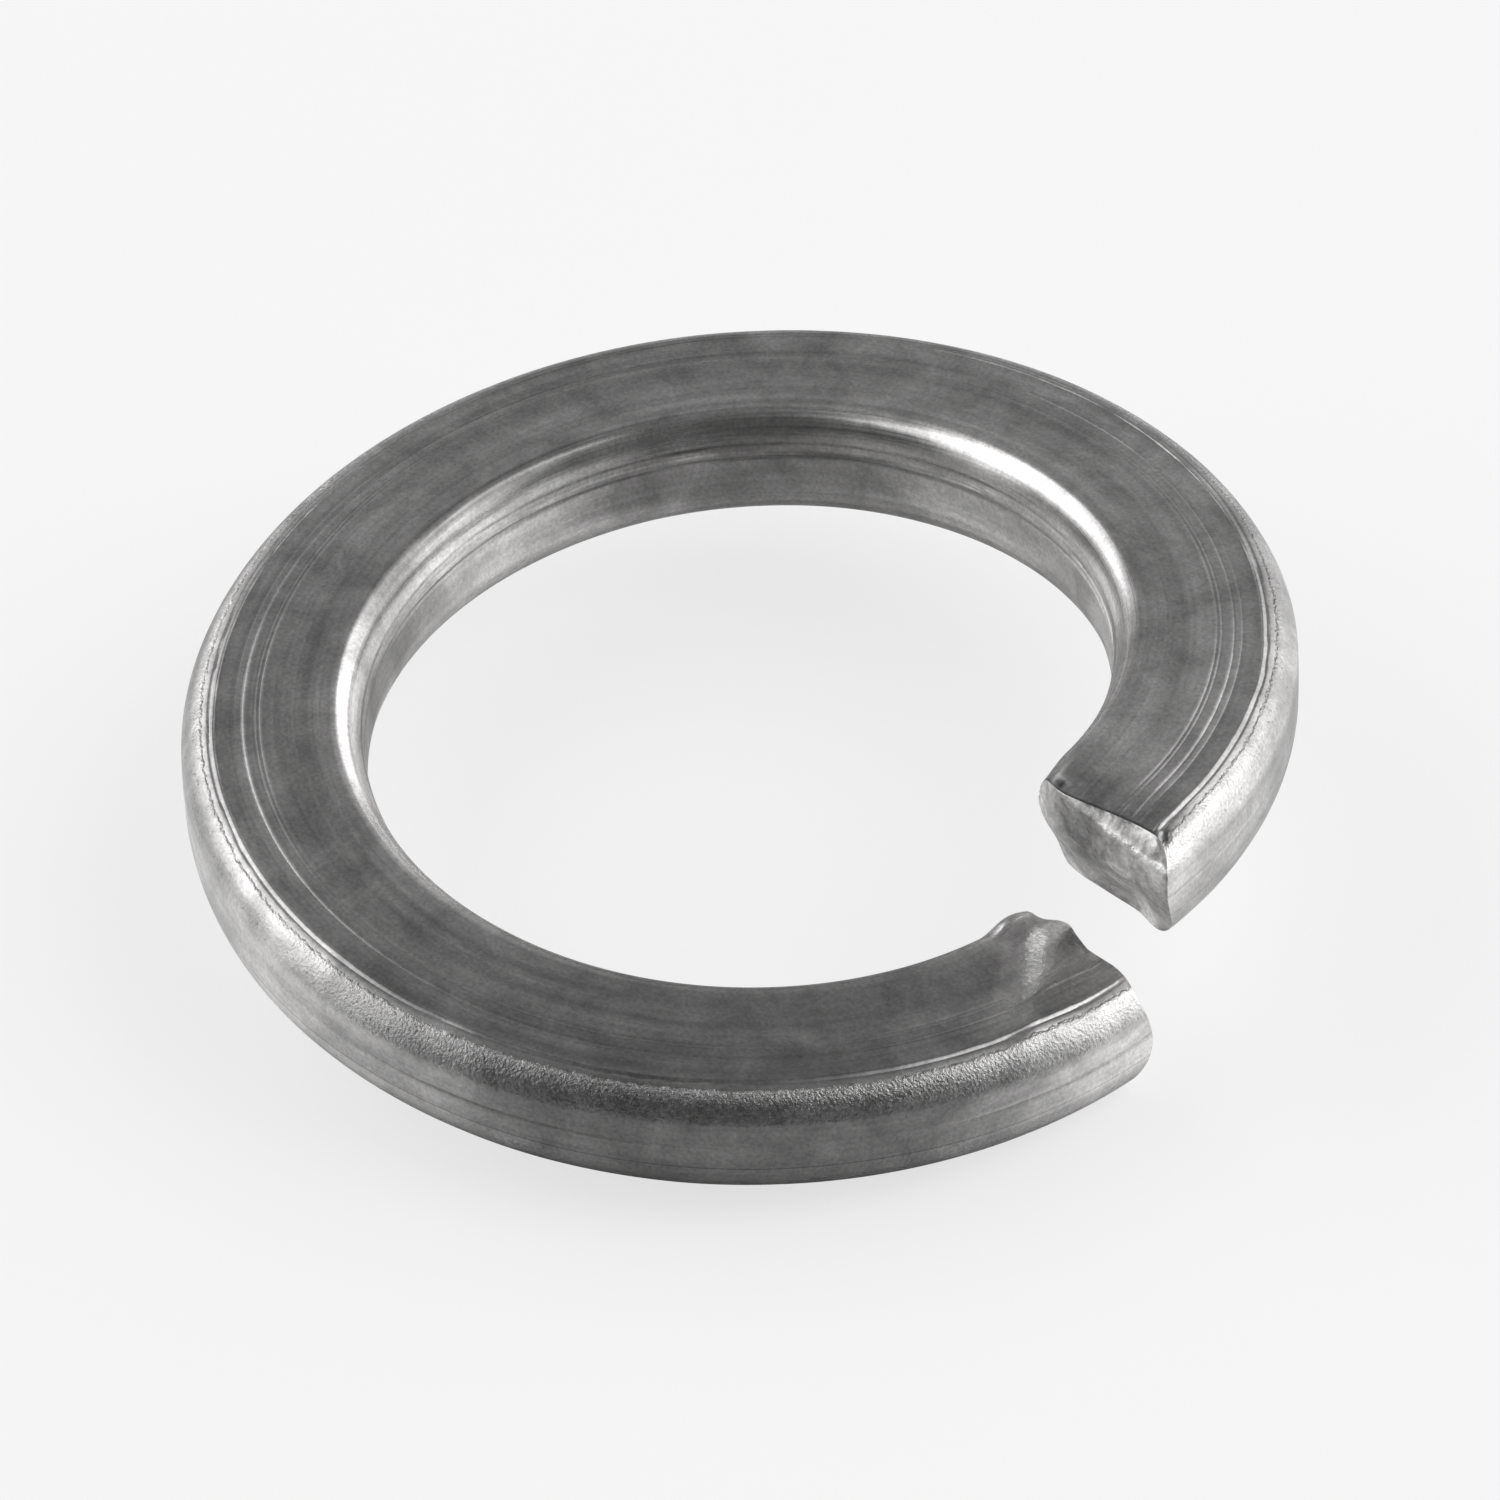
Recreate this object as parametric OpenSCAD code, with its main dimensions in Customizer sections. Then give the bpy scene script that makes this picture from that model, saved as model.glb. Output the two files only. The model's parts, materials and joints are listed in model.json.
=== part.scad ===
/* [Coil] */
// Diameter of the bore that the bolt passes through
bore_d = 28.5; // [26:0.1:31]
// Radial width of the wire section, from bore wall to outer wall
section_w = 7; // [6:0.1:8]
// Thickness of the wire section, from bottom face to top face
section_t = 5; // [4.6:0.1:6]
// Axial climb of the coil over one full turn
coil_pitch = 6.25; // [4:0.05:7]
// Width of the slot between the two ends, along the middle of the wire
end_gap = 1; // [0.6:0.1:4]

/* [Section edges] */
// Radial reach of the outer rounding on the top side
outer_top_w = 1.25; // [0.8:0.05:1.6]
// Height of that rounding
outer_top_h = 1.1; // [0.8:0.1:1.6]
// Radial reach of the outer rounding on the bottom side
outer_bottom_w = 1.9; // [1:0.1:2.4]
// Height of that rounding
outer_bottom_h = 1.9; // [0.8:0.1:2.2]
// How far the outer wall leans in towards the top rounding
wall_lean = 0.07; // [0:0.01:0.3]
// Radial reach of the rounding between a flat face and the bore wall
inner_edge_w = 1; // [0.6:0.1:1.5]
// Height of that inner rounding
inner_edge_h = 1.5; // [0.8:0.1:1.8]
// Height of the rolled bead that edges the top face
bead_h = 0.09; // [0.02:0.01:0.2]
// Width of that bead
bead_w = 0.36; // [0.2:0.02:0.6]
// Depth of the groove just outside the bead
bead_groove = 0.05; // [0:0.01:0.1]

/* [High end, sheared] */
// How far this end's face stands out from its nominal plane
high_stand = 0.25; // [0:0.05:0.4]
// How far the outer side of the face reaches beyond its inner side
high_skew = 0.45; // [0:0.05:0.8]
// Reach of the shear radius along the inner side of the face
high_side_round = 2; // [0.6:0.1:2.6]
// Depth of that shear radius at the top of the face
high_side_top = 1; // [0.2:0.05:1.2]
// Depth of that shear radius at the bottom of the face
high_side_bottom = 0.5; // [0.2:0.05:1.2]
// Height of the bright lip along the top of the face, at its outer half
high_lip_h = 0.95; // [0.4:0.05:1.4]
// Height of that lip at its inner half
high_lip_thin_h = 0.3; // [0.2:0.05:0.8]
// Depth to which that lip slopes back
high_lip_depth = 0.7; // [0.1:0.05:0.8]
// Drop of the top face where it rolls over into that lip
high_lip_drop = 0.3; // [0:0.05:0.4]
// Added drop of the inner corner of the top face
high_corner_drop = 0.2; // [0:0.05:0.5]
// Depth of the notch at the outer corner of the lip
high_notch = 0.17; // [0:0.01:0.3]
// How far the face is cut back along its bottom edge
high_undercut = 1.35; // [0:0.05:1.6]
// Share of that undercut which is missing at the outer side, where a pointed burr stands
high_burr_share = 0.55; // [0:0.05:1]
// Drop of the bottom face where the shear dragged it down
high_drag = 0.25; // [0:0.05:0.5]

/* [Low end, sheared] */
// How far this end's face stands out from its nominal plane
low_stand = 0.07; // [0:0.01:0.3]
// Height of the flap of the top face that is bent up at this end
flap_rise = 0.41; // [0:0.01:0.7]
// Radial position of the flap's crest, measured from the bore wall
flap_crest = 2.45; // [2:0.05:3.5]
// Half width of the flap at the cut edge
flap_half_w = 1.3; // [1:0.1:2]
// Length of the flap on the line of the inner rounding
flap_len = 0.85; // [0.5:0.05:2]
// Added length of the flap for each mm outwards, as its bend line runs askew
flap_slant = 0.9; // [0:0.05:1.2]
// Depth of the valley along the bend line
flap_valley = 0.06; // [0:0.02:0.3]
// How far the flap's edge overhangs the end face
flap_overhang = 0.18; // [0:0.02:0.4]
// Height of the hump that the shear raised on the inner rounding
low_hump = 0.4; // [0:0.05:0.5]
// How far the top outer corner of this end's face is cut back
low_corner_top = 0.45; // [0:0.05:0.8]
// How far the bottom outer corner of this end's face is cut back
low_corner_bottom = 0.95; // [0:0.05:1.2]

/* [Hidden] */
// Steps along the full turn, and finer steps close to each end
coil_steps = 138;
end_steps = 10;
// Length next to an end in which its deformed shape fades out
end_zone = 5;
// Reach along the wire of the rolled lip, of the dragged corners, and of the flap's bend
lip_reach = 0.6;
drag_reach = 1.8;
bend_reach = 2;
// Widening of the flap for each mm away from the cut edge, and width of its valley
flap_flare = 0.3;
valley_w = 0.6;
valley_spread = 3;
// Width of the inner corner that drops at the high end
corner_w = 1.6;
// Place and half length along the wire of the hump on the low end's inner rounding, and the
// distances from the bore wall between which it fades
hump_s = 1;
hump_len = 1.6;
hump_from = 0.5;
hump_to = 1.9;
// Shares of the section's height between which the deformed shapes fade, counted from below
top_fade = [0.5, 1];
bottom_fade = [0, 0.5];
flap_fade = [0.3, 1];
overhang_fade = [0.7, 1];
notch_fade = [0.7, 0.9];
undercut_fade = [0, 0.6];
// Shares of the section's width between which they fade, counted from the bore wall
drag_fade = [0.55, 0.9];
lip_fade = [0, 0.6];
lip_widening = [0.42, 0.62];
notch_side = [0.8, 1];
burr_side = [0.6, 0.95];
corner_side = [0.7, 1];
// Exponents that curve the lip and the flap's rise
lip_curve = 1.5;
flap_curve = 1.6;
// Facets of each rounding, of the flat faces and of the outer wall
outer_facets = 5;
inner_facets = 4;
flat_facets = 3;
wall_facets = 2;
// Share of the half section at which each inner ring of an end face lies
cap_rings = [0.94, 0.84, 0.7, 0.48, 0.24];
// Steepest angle of the inner rounding, where it meets the bore wall in a crease
crease_angle = 55;
// Steepest angle of the top outer rounding, where it meets the wall in a faint corner
shoulder_angle = 60;
// The wire is made a little too deep on the inside, and the bore is then cut to size
bore_land = 0.12;
bore_facets = 240;

bore_r = bore_d / 2;
mean_r = bore_r + section_w / 2;
gap_angle = end_gap / mean_r * 180 / PI;
turn_angle = 360 - gap_angle;
bead_u = section_w - wall_lean - outer_top_w;
wall_h = section_t - outer_top_h - outer_bottom_h;
coil_rise = coil_pitch * turn_angle / 360;
free_h = coil_rise + section_t;
cut_h = 2 * free_h;

// Share of the way from a to b, held between 0 and 1
function share(x, a, b) = max(0, min(1, (x - a) / (b - a)));
// The same, with a smooth start and a smooth stop
function smooth(x, a, b) = let (k = share(x, a, b)) k * k * (3 - 2 * k);
// The same across the section's width and up its height, between two shares of them
function across(u, fade) = smooth(u, section_w * fade[0], section_w * fade[1]);
function up(v, fade) = smooth(v, section_t * fade[0], section_t * fade[1]);
// A rounded hump of height 1 at x = c that fades out w away on each side
function hump(x, c, w) = let (k = min(1, abs(x - c) / w)) (1 + cos(180 * k)) / 2;

// Points of a rounding of reach w and height h that stops at a steepest angle: u grows from the
// flat face (0) outwards to the wall (1), and the second value is the drop below the face
function rounding(k, w, h, steepest) = [
    w * sin(steepest * k) / sin(steepest),
    h * (1 - cos(steepest * k)) / (1 - cos(steepest))
];
// Points of the top outer rounding, of the bottom outer one and of an inner one
function top_point(k) = [bead_u, section_t]
    + mul(rounding(k, outer_top_w, outer_top_h, shoulder_angle), [1, -1]);
function bottom_point(k) = [section_w - outer_bottom_w, 0]
    + rounding(k, outer_bottom_w, outer_bottom_h, 90);
function inner_point(k) = [inner_edge_w, 0]
    + mul(rounding(k, inner_edge_w, inner_edge_h, crease_angle), [-1, 1]);
// Product of two points, value by value
function mul(p, q) = [p[0] * q[0], p[1] * q[1]];
// Points of the outer wall, from the bottom rounding (0) to the top one (1)
function wall_point(k) = [section_w - wall_lean * k * k, outer_bottom_h + wall_h * k];
// The last facet of an inner rounding runs on through the bore wall into the spare land
function land_point() =
    let (
        p = inner_point(1 - 1 / inner_facets),
        crease = inner_point(1)
    )
    crease + (crease - p) * bore_land / p[0];
// A point of the top half from its twin in the bottom half
function mirrored(p) = [p[0], section_t - p[1]];

// The wire section as points [u, v]: u from the bore wall outwards, v from the bottom face up.
// It starts at the outer wall, runs over the top to the bore and returns under the bottom.
function section() = [
    for (i = [1 : wall_facets]) wall_point(i / wall_facets),
    for (i = [outer_facets - 1 : -1 : 1]) top_point(i / outer_facets),
    [bead_u + bead_w / 2, section_t - bead_groove],
    [bead_u, section_t + bead_h],
    [bead_u - bead_w / 2, section_t],
    for (i = [1 : flat_facets - 1])
        [bead_u - bead_w / 2 - (bead_u - bead_w / 2 - inner_edge_w) * i / flat_facets, section_t],
    for (i = [0 : inner_facets - 1]) mirrored(inner_point(i / inner_facets)),
    mirrored(land_point()),
    land_point(),
    for (i = [inner_facets - 1 : -1 : 0]) inner_point(i / inner_facets),
    for (i = [1 : flat_facets - 1])
        [inner_edge_w + (section_w - outer_bottom_w - inner_edge_w) * i / flat_facets, 0],
    for (i = [0 : outer_facets]) bottom_point(i / outer_facets)
];

// Height change of a wire point near the high end, at distance s from the end: the top rolls over
// into the lip, its inner corner drops, and the shear drags the bottom down
function high_shift(u, v, s) =
    let (
        near = 1 - smooth(s, 0, drag_reach),
        lip = high_lip_drop * (1 - smooth(s, 0, lip_reach)),
        corner = high_corner_drop * (1 - smooth(u, 0, corner_w)) * near,
        drag = high_drag * (1 - across(u, drag_fade)) * near
    )
    -(lip + corner) * up(v, top_fade) - drag * (1 - up(v, bottom_fade));

// Distance past the flap's bend line, towards the low end
function past_bend(u, s) =
    (flap_len + flap_slant * (u - inner_edge_w) - s) / sqrt(1 + flap_slant * flap_slant);

// Height change of a wire point near the low end, at distance s from the end: the flap rises
// past its bend line, a valley runs along that line, and a hump stands on the inner rounding
function low_shift(u, v, s) =
    let (
        bend = past_bend(u, s),
        spread = hump(u, flap_crest, flap_half_w + s * flap_flare),
        rise = flap_rise * (1 - pow(1 - share(bend, 0, bend_reach), flap_curve)),
        valley = hump(bend, -valley_w / 2, valley_w) * hump(u, flap_crest, valley_spread),
        inner = (1 - smooth(u, hump_from, hump_to)) * hump(s, hump_s, hump_len)
    )
    up(v, flap_fade) * (spread * rise - flap_valley * valley + low_hump * inner);

// Height of the high end's lip at a distance from the bore wall
function lip_height(u) =
    high_lip_thin_h + (high_lip_h - high_lip_thin_h) * across(u, lip_widening);

// How far the high end's face stands out into the gap at a section point
function high_face(u, v) =
    let (
        side = high_side_bottom + (high_side_top - high_side_bottom) * v / section_t,
        lip = pow(share(v, section_t - lip_height(u), section_t), lip_curve),
        burr = high_burr_share * across(u, burr_side)
    )
    high_stand
    + high_skew * (u / section_w - 0.5)
    - side * pow(1 - share(u, 0, high_side_round), 2)
    - high_lip_depth * lip * across(u, lip_fade)
    - high_notch * across(u, notch_side) * up(v, notch_fade)
    - high_undercut * (1 - up(v, undercut_fade)) * (1 - burr);

// How far the low end's face stands out into the gap at a section point
function low_face(u, v) =
    let (
        flap = hump(u, flap_crest, flap_half_w) * up(v, overhang_fade),
        top_corner = low_corner_top * up(v, top_fade),
        bottom_corner = low_corner_bottom * (1 - up(v, bottom_fade))
    )
    low_stand
    + flap_overhang * flap
    - (top_corner + bottom_corner) * across(u, corner_side);

// A section point in space: angle along the coil, then a step of ds along the wire
function place(angle, p, ds) =
    let (r = bore_r + p[0], a = angle + ds / r * 180 / PI)
    [r * cos(a), r * sin(a), p[1] + coil_pitch * (360 - gap_angle / 2 - angle) / 360];

// Distances from an end at which the finer stations lie
function end_distance(i) = end_zone * pow(i / end_steps, 1.4);
end_angle = end_zone / mean_r * 180 / PI;

// One ring of wire points at an angle, with the shape of both ends worked in
function wire_ring(angle) =
    let (
        s_high = (angle - gap_angle / 2) * PI / 180 * mean_r,
        s_low = (360 - gap_angle / 2 - angle) * PI / 180 * mean_r,
        reach_high = 1 - share(s_high, 0, end_zone),
        reach_low = 1 - share(s_low, 0, end_zone)
    )
    [for (p = section())
        place(
            angle,
            [p[0], p[1] + high_shift(p[0], p[1], s_high) + low_shift(p[0], p[1], s_low)],
            low_face(p[0], p[1]) * reach_low - high_face(p[0], p[1]) * reach_high
        )];

// One ring inside an end face: the section drawn in towards its middle
function cap_ring(angle, k, high) =
    [for (p = section())
        let (
            mid = [section_w / 2, section_t / 2],
            q = mid + (p - mid) * k,
            edge = high ? high_shift(p[0], p[1], 0) : low_shift(p[0], p[1], 0)
        )
        place(
            angle,
            [q[0], q[1] + edge * k],
            high ? -high_face(q[0], q[1]) : low_face(q[0], q[1])
        )];

high_angle = gap_angle / 2;
low_angle = 360 - gap_angle / 2;

// Angles of all rings from the high end to the low end
function ring_angles() = [
    for (i = [0 : end_steps - 1]) high_angle + end_distance(i) / mean_r * 180 / PI,
    for (i = [0 : coil_steps])
        high_angle + end_angle + (turn_angle - 2 * end_angle) * i / coil_steps,
    for (i = [end_steps - 1 : -1 : 0]) low_angle - end_distance(i) / mean_r * 180 / PI
];

// The whole turn of wire as one closed skin of rings, with a centre point in each end face
module wire() {
    caps = len(cap_rings);
    rings = [
        for (i = [caps - 1 : -1 : 0]) cap_ring(high_angle, cap_rings[i], true),
        for (a = ring_angles()) wire_ring(a),
        for (k = cap_rings) cap_ring(low_angle, k, false)
    ];
    m = len(section());
    n = len(rings);
    middle = [section_w / 2, section_t / 2];
    points = [
        for (ring = rings) for (p = ring) p,
        place(high_angle, middle, -high_face(middle[0], middle[1])),
        place(low_angle, middle, low_face(middle[0], middle[1]))
    ];
    faces = [
        for (i = [0 : n - 2]) for (j = [0 : m - 1])
            let (a = i * m + j, b = i * m + (j + 1) % m)
            each [[a, b, b + m], [a, b + m, a + m]],
        for (j = [0 : m - 1]) [n * m, (j + 1) % m, j],
        for (j = [0 : m - 1]) [n * m + 1, (n - 1) * m + j, (n - 1) * m + (j + 1) % m]
    ];
    polyhedron(points = points, faces = faces, convexity = 6);
}

module washer() {
    color([0.5, 0.5, 0.49])
    difference() {
        wire();
        translate([0, 0, -cut_h / 2]) cylinder(r = bore_r, h = 2 * cut_h, $fn = bore_facets);
    }
}

washer();
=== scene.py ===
# %% [markdown]
# A spring lock washer is one turn of flat-rolled steel wire, coiled like a single coil of a
# spring and then sheared off, so that its two ends stand at different heights across a gap.
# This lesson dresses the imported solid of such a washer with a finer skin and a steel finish.
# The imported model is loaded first, because every size below has to agree with it.

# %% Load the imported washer
import json
import math

import bpy
import numpy as np
from mathutils import Matrix, Vector


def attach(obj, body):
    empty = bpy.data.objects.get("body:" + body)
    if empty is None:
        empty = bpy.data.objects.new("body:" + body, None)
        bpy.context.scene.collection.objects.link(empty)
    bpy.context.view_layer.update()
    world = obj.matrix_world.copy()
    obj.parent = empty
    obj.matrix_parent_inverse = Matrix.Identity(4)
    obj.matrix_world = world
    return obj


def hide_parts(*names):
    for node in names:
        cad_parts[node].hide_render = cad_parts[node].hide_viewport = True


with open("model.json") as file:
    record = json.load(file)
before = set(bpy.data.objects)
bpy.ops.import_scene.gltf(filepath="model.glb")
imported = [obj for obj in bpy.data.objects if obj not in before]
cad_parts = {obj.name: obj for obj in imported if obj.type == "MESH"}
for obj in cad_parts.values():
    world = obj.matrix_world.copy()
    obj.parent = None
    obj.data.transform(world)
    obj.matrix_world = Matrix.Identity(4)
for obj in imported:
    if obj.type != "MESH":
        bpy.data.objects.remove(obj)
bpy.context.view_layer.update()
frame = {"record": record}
MM = 0.001
bore = next(m for m in frame["record"]["mounts"] if m["name"] == "bore")
BORE_R = bore["dims"]["r_mm"] * MM

# %% [markdown]
# The wire has a rounded rectangular section. Its sizes are the same as those of the solid:
# a section point has u, its distance from the bore wall, and v, its height over the bottom
# face. The coil is left-handed: it sinks as it goes counterclockwise, seen from above.

# %% Sizes of the wire and the coil
WIRE_W = 7 * MM
WIRE_T = 5 * MM
PITCH = 6.25 * MM
GAP = 1 * MM
MEAN_R = BORE_R + WIRE_W / 2
GAP_ANGLE = GAP / MEAN_R
TURN = 2 * math.pi - GAP_ANGLE
START, STOP = GAP_ANGLE / 2, 2 * math.pi - GAP_ANGLE / 2
print("turn of the coil", round(math.degrees(TURN), 2), "degrees")

# %% [markdown]
# The section has four roundings. The bottom outer one is a quarter ellipse. The top outer one
# stops at a faint corner where the leaning wall begins, and the two inner ones stop at a
# crease on the bore wall. A thin bead stands along the top face's outer edge, where the
# flat roller and the edge roller met, and a fine seam runs round the outer wall.

# %% Sizes of the section's edges
TOP_W, TOP_H = 1.25 * MM, 1.1 * MM
BOTTOM_W, BOTTOM_H = 1.9 * MM, 1.9 * MM
WALL_H = WIRE_T - TOP_H - BOTTOM_H
INNER_W, INNER_H = 1 * MM, 1.5 * MM
SHOULDER, CREASE = math.radians(60), math.radians(55)
INNER_LEAN = 0.32
WALL_LEAN = 0.07 * MM
BEAD_U = WIRE_W - WALL_LEAN - TOP_W
BEAD_H, BEAD_W, BEAD_GROOVE = 0.045 * MM, 0.18 * MM, 0.035 * MM
SEAM_V, SEAM_W, SEAM_DEPTH = 2.87 * MM, 0.09 * MM, 0.03 * MM
BORE_LINES = ((1.56 * MM, 0.06 * MM), (1.85 * MM, 0.05 * MM))
SCRATCH_U = np.array([4.83, 4.53, 4.06, 3.89]) * MM
SCRATCH_DEPTH = np.array([0.012, 0.022, 0.014, 0.016]) * MM
SCRATCH_W = 0.07 * MM
print("bead line", round(BEAD_U / MM, 2), "mm and seam", round(SEAM_V / MM, 2), "mm up the wall")

# %% [markdown]
# A closed section curve is easiest to build from short stretches, each with its own formula
# and its own number of points. The points lie close together where the form turns fast, on
# the roundings, the bead, the seam and the scratches, and far apart on the plain faces.

# %% The section as a closed curve
CLOSE_TURN, CLOSE_BORE = 0.18, 0.3


def rounding(k, reach, height, steepest):
    """Part of an ellipse from a flat face (k = 0) to a wall (k = 1), where its slope has grown to
    a steepest angle c: way = W sin(ck) / sin(c), drop = H (1 - cos(ck)) / (1 - cos(c))."""
    way = reach * np.sin(steepest * k) / math.sin(steepest)
    return way, height * (1 - np.cos(steepest * k)) / (1 - math.cos(steepest))


def inner_edge(k):
    """The inner edge from the top face (k = 0) to the bore wall (k = 1): it starts at a crease
    with a lean c and turns steeper, drop = cWk + (H - cW) k cubed."""
    lean = INNER_LEAN * INNER_W
    return INNER_W * k, lean * k + (INNER_H - lean) * k ** 3


def steps(n):
    """n values from 0 up to, but not including, 1."""
    return np.arange(n) / n


def top_places():
    """Radial places on the top face from the bead's foot to the inner rounding: even ones and
    five around each scratch, in falling order."""
    even = np.linspace(BEAD_U - BEAD_W, INNER_W, 21)[:-1]
    around = SCRATCH_U[:, None] + SCRATCH_W * np.array([-1, -0.5, 0, 0.5, 1])
    return np.sort(np.concatenate([even, around.ravel()]))[::-1]


def wall_shares():
    """Places from the outer wall's foot (0) to its top (1): even ones, and seven at the seam."""
    seam, close = (SEAM_V - BOTTOM_H) / WALL_H, SEAM_W / WALL_H
    across_seam = seam + close * np.linspace(-1, 1, 7)
    over = across_seam[-1]
    return np.concatenate([steps(4) * across_seam[0], across_seam, over + (1 - over) * steps(5)[1:]])


def wire_section():
    """The section's points u and v, in a loop up the outer wall, over the top, down the bore and
    back under the bottom, and the name of the stretch that each point lies on. They lie closer
    in the last part of the outer rounding and in the first part of the bore."""
    wall = wall_shares()
    turn = np.concatenate([1 - (1 - CLOSE_TURN) * steps(22), CLOSE_TURN * (1 - steps(6))])
    way, drop = rounding(turn, TOP_W, TOP_H, SHOULDER)
    bead = BEAD_U - BEAD_W * steps(7)
    top = top_places()
    inner_way, inner_drop = inner_edge(steps(18) ** 0.8)
    down = np.concatenate([CLOSE_BORE * steps(9), CLOSE_BORE + (1 - CLOSE_BORE) * steps(5)])
    back_way, back_drop = rounding(1 - steps(10), INNER_W, INNER_H, CREASE)
    low_way, low_drop = rounding(steps(13), BOTTOM_W, BOTTOM_H, math.pi / 2)
    stretches = [
        ("wall", WIRE_W - WALL_LEAN * wall ** 2, BOTTOM_H + WALL_H * wall),
        ("rounding", BEAD_U + way, WIRE_T - drop),
        ("bead", bead, WIRE_T + 0 * bead),
        ("top", top, WIRE_T + 0 * top),
        ("inner", INNER_W - inner_way, WIRE_T - inner_drop),
        ("bore", 0 * down, WIRE_T - INNER_H - (WIRE_T - 2 * INNER_H) * down),
        ("inner_low", INNER_W - back_way, back_drop),
        ("bottom", INNER_W + (WIRE_W - BOTTOM_W - INNER_W) * steps(9), np.zeros(9)),
        ("rounding_low", WIRE_W - BOTTOM_W + low_way, low_drop),
    ]
    names = np.concatenate([[name] * len(u) for name, u, _ in stretches])
    return *(np.concatenate([part[n] for part in stretches]) for n in (1, 2)), names


SECTION_U, SECTION_V, STRETCH = wire_section()
print("section points", len(SECTION_U))

# %% [markdown]
# The ends deform the wire close to the gap. Smooth steps and humps are the two shapes that
# describe them: a step runs from 0 to 1 between two places, and a hump rises to 1 and fades.

# %% Smooth steps, humps and noise
def share(x, a, b):
    """The share of the way from a to b, held between 0 and 1."""
    return np.clip((x - a) / (b - a), 0, 1)


def smooth(x, a, b):
    """A smooth step, 3k squared minus 2k cubed of the share k of the way from a to b."""
    k = share(x, a, b)
    return k * k * (3 - 2 * k)


def hump(x, c, w):
    """A rounded hump, half of 1 + cos(pi k), where k is the distance from c as a share of w."""
    return (1 + np.cos(np.pi * np.minimum(1, np.abs(x - c) / w))) / 2


def lattice_noise(x, y, seed):
    """Smooth noise between -1 and 1: random values on whole-number points, blended between them
    with smooth steps in x and y."""
    values = np.random.default_rng(seed).uniform(-1, 1, (257, 257))
    x0, y0 = np.floor(x).astype(int), np.floor(y).astype(int)
    fx, fy = smooth(x - x0, 0, 1), smooth(y - y0, 0, 1)

    def corner(dx, dy):
        return values[(x0 + dx) % 257, (y0 + dy) % 257]

    low = corner(0, 0) * (1 - fx) + corner(1, 0) * fx
    high = corner(0, 1) * (1 - fx) + corner(1, 1) * fx
    return low * (1 - fy) + high * fy


def layered_noise(x, y, seed, layers=3):
    """Noise added up in layers, each twice as fine and half as strong as the one before."""
    total = sum(lattice_noise(x * 2 ** i, y * 2 ** i, seed + i) / 2 ** i for i in range(layers))
    return total / (2 - 0.5 ** (layers - 1))


print("noise at a point", round(float(layered_noise(np.array(0.3), np.array(0.7), 1)), 4))

# %% [markdown]
# At the high end the shears rolled the top edge over into a bright lip, rounded the inner
# side of the face, cut its bottom back and left a point at the bottom outer corner. The
# formulas follow those of the solid, with a few softer steps.

# %% Sizes of the high end
HIGH_STAND, HIGH_SKEW = 0.25 * MM, 0.45 * MM
SIDE_ROUND, SIDE_TOP, SIDE_BOTTOM = 2 * MM, 1 * MM, 0.5 * MM
LIP_H, LIP_THIN_H, LIP_DEPTH = 0.95 * MM, 0.3 * MM, 0.7 * MM
LIP_DROP, LIP_REACH = 0.3 * MM, 2.2 * MM
CORNER_DROP, CORNER_W = 0.2 * MM, 1.6 * MM
NOTCH, UNDERCUT, BURR_SHARE = 0.17 * MM, 1.35 * MM, 0.55
DRAG, DRAG_REACH = 0.25 * MM, 1.8 * MM
END_ZONE = 5 * MM
print("the ends' shapes fade out over", END_ZONE / MM, "mm of wire")

# %% [markdown]
# The formulas take whole arrays of u, v and s, the distance from the high end. They give
# moves up or down for all rings, and then moves along the wire for the end face.

# %% Shape of the high end
def across(u, start, stop):
    """A smooth step across the section, between two shares of its width."""
    return smooth(u, WIRE_W * start, WIRE_W * stop)


def up(v, start, stop):
    """A smooth step up the section, between two shares of its height."""
    return smooth(v, WIRE_T * start, WIRE_T * stop)


def high_shift(u, v, s):
    """Height change near the high end at distance s from it: the top rolls over into the lip,
    its inner corner drops, and the shear drags the bottom down."""
    near = 1 - smooth(s, 0, DRAG_REACH)
    lip = LIP_DROP * (1 - share(s, 0, LIP_REACH)) ** 2
    corner = CORNER_DROP * (1 - smooth(u, 0, CORNER_W)) * near
    drag = DRAG * (1 - across(u, 0.55, 0.9)) * near
    return -(lip + corner) * up(v, 0.5, 1) - drag * (1 - up(v, 0, 0.5))


def lip_height(u):
    """Height of the lip under the top edge: a wedge, thin on the inner side, that grows evenly
    towards the outer corner."""
    return LIP_THIN_H + (LIP_H - LIP_THIN_H) * share(u / WIRE_W, 0.3, 0.85)


def high_face(u, v):
    """How far the high end's face stands out into the gap: a skewed plane less the rounded
    inner side, the lip, the notch at its outer corner and the undercut at the bottom."""
    side = SIDE_BOTTOM + (SIDE_TOP - SIDE_BOTTOM) * v / WIRE_T
    lip = LIP_DEPTH * share(v, WIRE_T - lip_height(u), WIRE_T) ** 1.5 * across(u, 0.1, 0.8)
    notch = NOTCH * across(u, 0.8, 1) * up(v, 0.7, 0.9)
    undercut = UNDERCUT * (1 - up(v, 0, 0.6)) * (1 - BURR_SHARE * across(u, 0.6, 0.95))
    plane = HIGH_STAND + HIGH_SKEW * (u / WIRE_W - 0.5)
    return plane - side * (1 - share(u, 0, SIDE_ROUND)) ** 2 - lip - notch - undercut


print("lip height at the middle", round(float(lip_height(WIRE_W / 2)) * 1000, 2), "mm")

# %% [markdown]
# The low end was sheared from above. The blade bent the inner half of the top face up into a
# small flap, pressed a shallow valley before it, and left a hump on the inner edge.

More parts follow.
